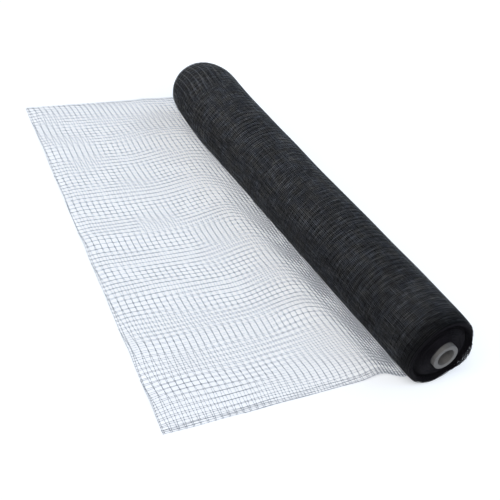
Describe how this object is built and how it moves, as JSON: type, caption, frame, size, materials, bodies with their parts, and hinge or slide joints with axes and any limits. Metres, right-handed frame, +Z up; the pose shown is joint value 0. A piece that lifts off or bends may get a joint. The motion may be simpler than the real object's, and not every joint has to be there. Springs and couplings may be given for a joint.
{
  "type": "bird netting roll",
  "caption": "Roll of black square-mesh bird netting wound on a grey tube, with its loose end pulled out flat over the floor.",
  "frame": {"origin": "on the floor, under the middle of the whole part's box", "axes": "+Z up; +Y along the tube from its near end, which shows, to the domed far end; the loose end runs out towards -X"},
  "size_m": [0.636, 1.0536, 0.1541],
  "materials": {
    "net": "black extruded plastic mesh, satin",
    "tube": "plain grey tube, matte"
  },
  "bodies": {
    "root": {"net_roll": "net", "net_sheet": "net", "core_tube": "tube"}
  },
  "joints": []
}
